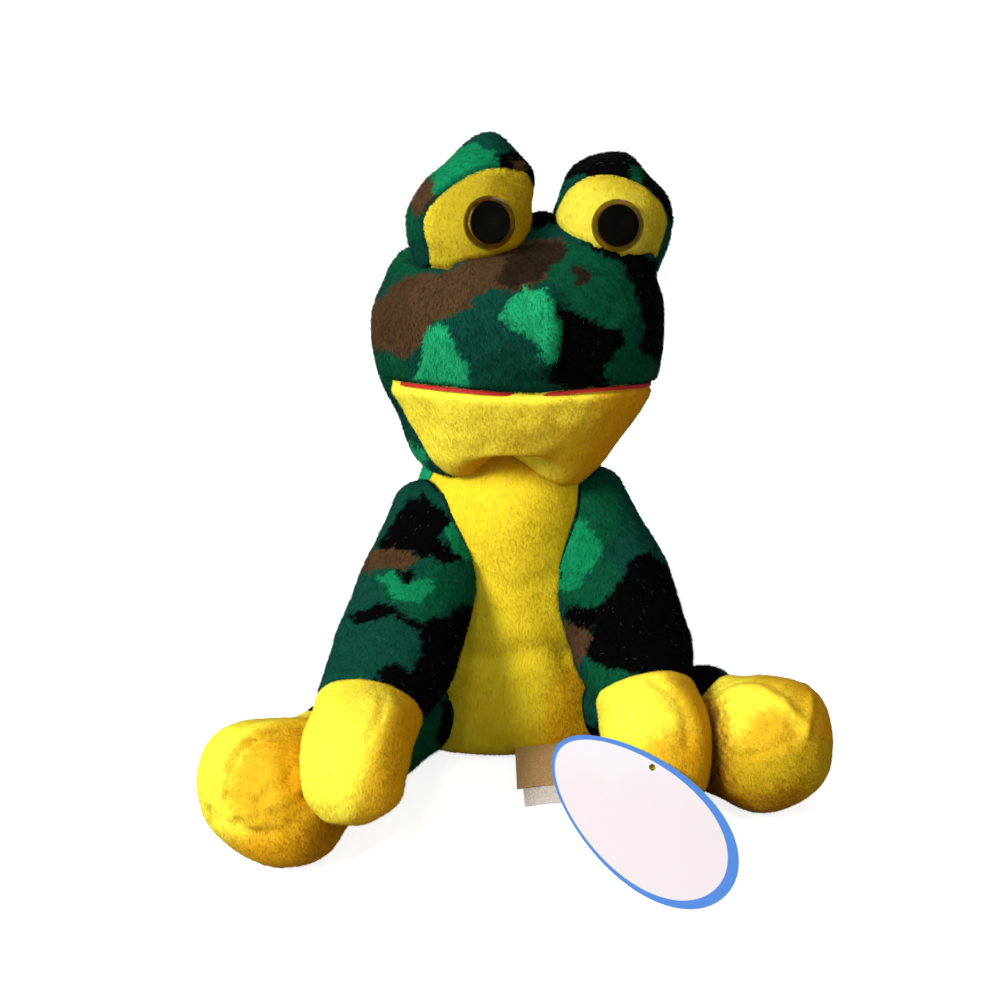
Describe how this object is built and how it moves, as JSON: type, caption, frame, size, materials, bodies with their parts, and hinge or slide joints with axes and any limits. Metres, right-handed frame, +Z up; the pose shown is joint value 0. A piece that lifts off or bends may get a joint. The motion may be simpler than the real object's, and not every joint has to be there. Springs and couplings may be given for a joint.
{
  "type": "plush frog",
  "caption": "Seated plush frog with a camouflage back, head and limbs, a yellow face, belly, hands and feet, clear domed eyes and a swing tag.",
  "frame": {"origin": "on the floor, under the middle of the seat", "axes": "+Z up; the frog faces -Y; its own left side is +X"},
  "size_m": [0.2042, 0.1617, 0.2032],
  "materials": {
    "camouflage_plush": "short pile plush in bright green, dark green, brown and black camouflage",
    "yellow_plush": "short pile plush, warm yellow",
    "red_felt": "thin red felt",
    "polyester_fibre": "white stuffing fibre, hidden",
    "pellet_cloth": "plain woven bag, hidden",
    "clear_plastic": "clear polished plastic with an amber tint at the rim",
    "black_plastic": "glossy black",
    "washer_plastic": "plain moulded, hidden",
    "beige_satin": "smooth woven label ribbon, bare",
    "white_satin": "smooth woven label ribbon, bare",
    "tag_card": "coated white card with a light blue border"
  },
  "bodies": {
    "torso": {"torso_belly_cover": "yellow_plush", "torso_back_cover": "camouflage_plush", "torso_stuffing": "polyester_fibre", "seat_pellet_bag": "pellet_cloth", "care_label_beige": "beige_satin", "care_label_white": "white_satin"},
    "neck": {"neck_stuffing_pad": "polyester_fibre"},
    "head": {"head_crown_cover": "camouflage_plush", "head_chin_cover": "yellow_plush", "mouth_lining": "red_felt", "head_stuffing": "polyester_fibre", "eye_hood_left": "camouflage_plush", "eye_hood_right": "camouflage_plush", "eye_patch_left": "yellow_plush", "eye_patch_right": "yellow_plush", "eye_lens_left": "clear_plastic", "eye_lens_right": "clear_plastic", "eye_pupil_left": "black_plastic", "eye_pupil_right": "black_plastic", "eye_washer_left": "washer_plastic", "eye_washer_right": "washer_plastic"},
    "arm_left": {"arm_cover_left": "camouflage_plush", "hand_cover_left": "yellow_plush", "arm_stuffing_left": "polyester_fibre"},
    "arm_right": {"arm_cover_right": "camouflage_plush", "hand_cover_right": "yellow_plush", "arm_stuffing_right": "polyester_fibre"},
    "leg_left": {"leg_cover_left": "camouflage_plush", "foot_cover_left": "yellow_plush", "leg_stuffing_left": "polyester_fibre"},
    "leg_right": {"leg_cover_right": "camouflage_plush", "foot_cover_right": "yellow_plush", "leg_stuffing_right": "polyester_fibre"},
    "tag": {"swing_tag": "tag_card"}
  },
  "joints": [
    {"name": "neck_turn", "type": "hinge", "parent": "torso", "child": "neck", "pos_m": [0, -0.003, 0.08], "axis": [0, 0, 1], "range_deg": [-25, 25]},
    {"name": "head_nod", "type": "hinge", "parent": "neck", "child": "head", "pos_m": [0, -0.003, 0.08], "axis": [-1, 0, 0], "range_deg": [-12, 10]},
    {"name": "shoulder_left", "type": "hinge", "parent": "torso", "child": "arm_left", "pos_m": [0.029, 0, 0.092], "axis": [-1, 0, 0], "range_deg": [0, 27]},
    {"name": "shoulder_right", "type": "hinge", "parent": "torso", "child": "arm_right", "pos_m": [-0.029, 0, 0.092], "axis": [-1, 0, 0], "range_deg": [0, 27]},
    {"name": "hip_left", "type": "hinge", "parent": "torso", "child": "leg_left", "pos_m": [0.039, -0.006, 0.015], "axis": [0, 0, 1], "range_deg": [0, 20]},
    {"name": "hip_right", "type": "hinge", "parent": "torso", "child": "leg_right", "pos_m": [-0.039, -0.006, 0.015], "axis": [0, 0, -1], "range_deg": [0, 20]},
    {"name": "tag_swing", "type": "hinge", "parent": "arm_left", "child": "tag", "pos_m": [0.03579, -0.08989, 0.03022], "axis": [-0.6756, 0.5648, 0.4739], "range_deg": [0, 45]}
  ]
}
